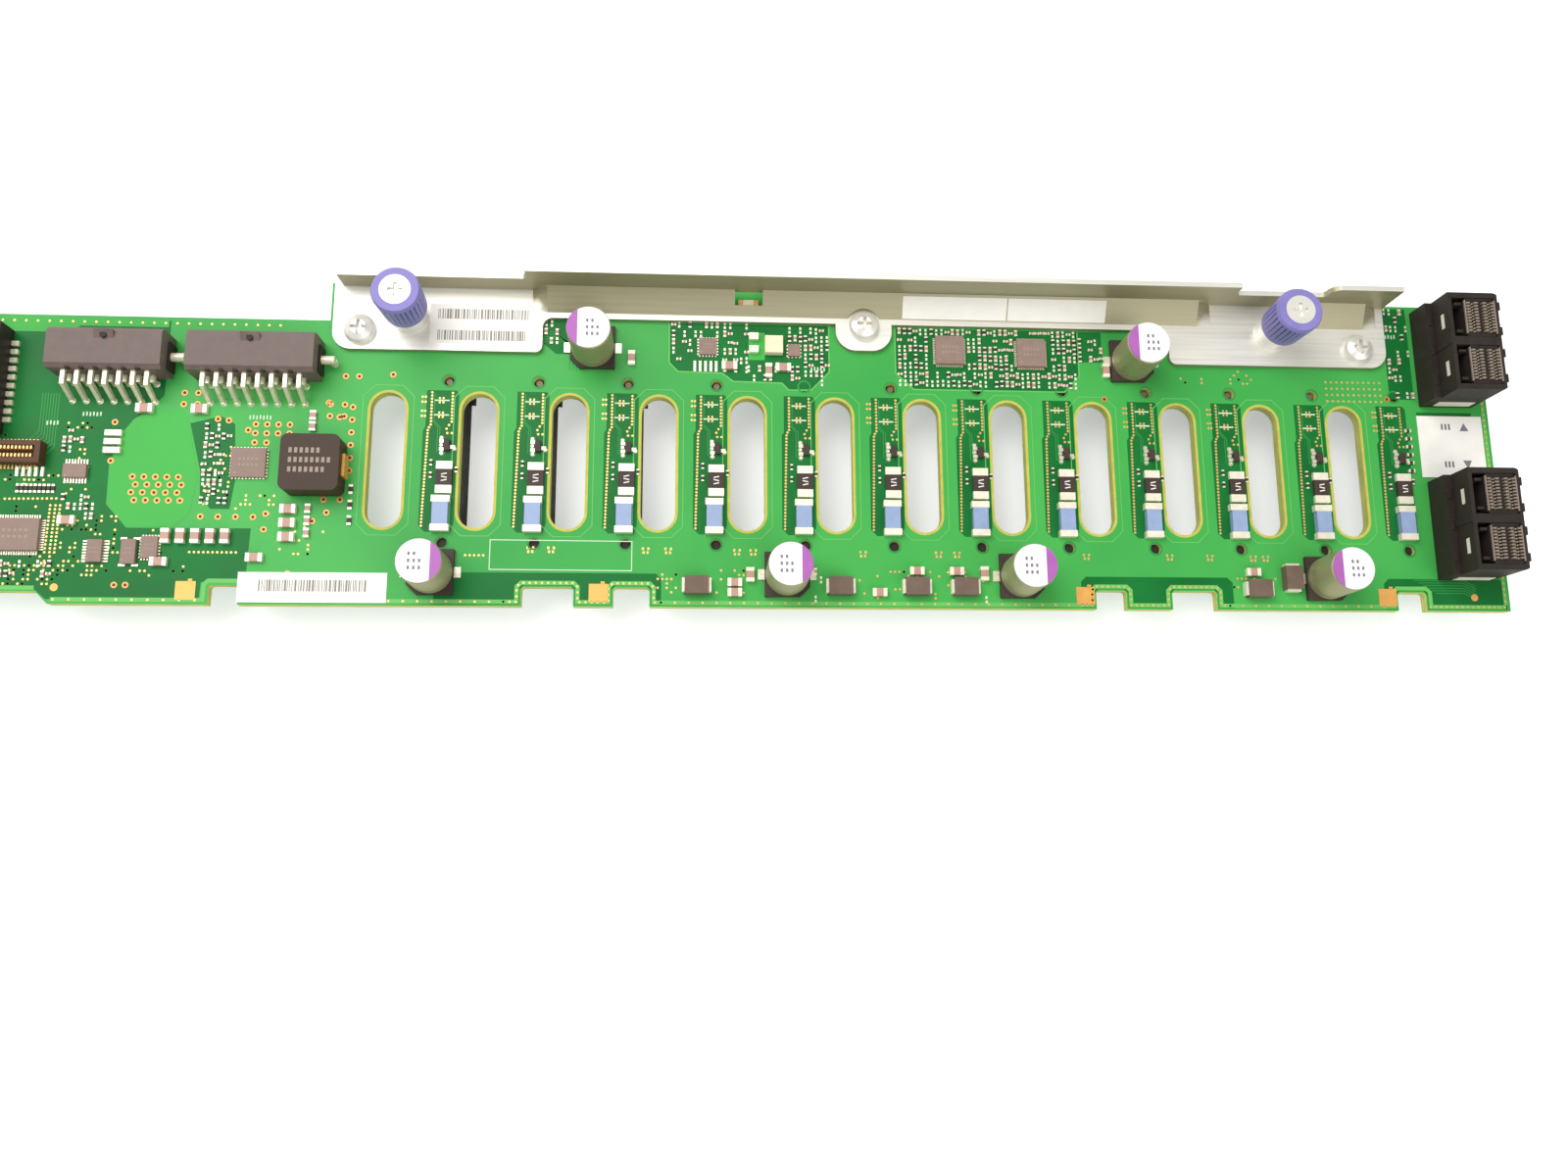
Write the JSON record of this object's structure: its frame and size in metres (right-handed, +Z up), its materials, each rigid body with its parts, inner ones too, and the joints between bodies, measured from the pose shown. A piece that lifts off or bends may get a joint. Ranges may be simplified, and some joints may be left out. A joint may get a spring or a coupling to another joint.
{
  "type": "drive_backplane_board",
  "caption": "Twelve-bay drive backplane board with a formed steel bracket, captive thumbscrews, airflow slots, power headers, data connectors and capacitors",
  "frame": {"origin": "centre of the bounding box in plan, at the mouths of the drive receptacles, which is its lowest plane", "axes": "+X along the board towards the data connectors, +Y towards the bracket edge, +Z up out of the component side"},
  "size_m": [0.362, 0.076, 0.0286],
  "materials": {
    "laminate": "satin solder mask over copper",
    "zinc_sheet": "bright zinc-plated sheet",
    "screw_steel": "zinc-plated",
    "spring_steel": "drawn wire",
    "knob_purple": "satin moulding with fine grip ribs",
    "capacitor_can": "satin can with a printed segment",
    "black_nylon": "satin moulding",
    "white_nylon": "satin moulding",
    "tin": "matt tin",
    "gold": "bright plating",
    "ferrite": "matt sintered",
    "resin_black": "satin moulding",
    "ceramic_tan": "satin ceramic",
    "film_lavender": "satin moulding",
    "oscillator_beige": "satin lid",
    "label_white": "matt paper"
  },
  "bodies": {
    "backplane": {"board": "laminate", "bracket": "zinc_sheet", "bracket_screws": "screw_steel", "bracket_nuts": "screw_steel", "thumbscrew_ferrules": "screw_steel", "left_spring": "spring_steel", "right_spring": "spring_steel", "capacitor_cans": "capacitor_can", "capacitor_bases": "black_nylon", "capacitor_leads": "tin", "power_header_left": "black_nylon", "power_header_right": "black_nylon", "power_pins_left": "tin", "power_pins_right": "tin", "power_header_pegs": "tin", "data_connector_front": "black_nylon", "data_connector_rear": "black_nylon", "data_contact_blocks": "black_nylon", "drive_receptacles": "black_nylon", "receptacle_board_locks": "tin", "sense_resistors": "resin_black", "sense_resistor_ends": "tin", "bay_capacitors": "film_lavender", "bay_capacitor_ends": "tin", "bay_switches": "resin_black", "power_inductor": "ferrite", "power_inductor_terminals": "gold", "small_inductors": "ferrite", "small_inductor_ends": "tin", "controllers": "resin_black", "regulators": "resin_black", "logic_chips": "resin_black", "oscillator": "oscillator_beige", "signal_header": "black_nylon", "signal_header_pins": "gold", "signal_header_leads": "tin", "mezzanine_connector": "black_nylon", "ceramic_capacitors": "ceramic_tan", "labels": "label_white"},
    "left_thrust": {"left_spring_washer": "screw_steel"},
    "left_thumbscrew": {"left_knob": "knob_purple", "left_captive_screw": "screw_steel"},
    "right_thrust": {"right_spring_washer": "screw_steel"},
    "right_thumbscrew": {"right_knob": "knob_purple", "right_captive_screw": "screw_steel"}
  },
  "joints": [
    {"name": "left_press", "type": "slide", "parent": "backplane", "child": "left_thrust", "axis": [0, 0, 1], "range_m": [-0.0042, 0], "stiffness_N_per_m": 300, "springref_m": 0.003, "deforming": ["left_spring"]},
    {"name": "left_turn", "type": "hinge", "parent": "left_thrust", "child": "left_thumbscrew", "pos_m": [-0.077, 0.0295, 0.0232], "axis": [0, 0, 1], "continuous": true},
    {"name": "right_press", "type": "slide", "parent": "backplane", "child": "right_thrust", "axis": [0, 0, 1], "range_m": [-0.0042, 0], "stiffness_N_per_m": 300, "springref_m": 0.003, "deforming": ["right_spring"]},
    {"name": "right_turn", "type": "hinge", "parent": "right_thrust", "child": "right_thumbscrew", "pos_m": [0.1279, 0.0295, 0.0232], "axis": [0, 0, 1], "continuous": true}
  ]
}
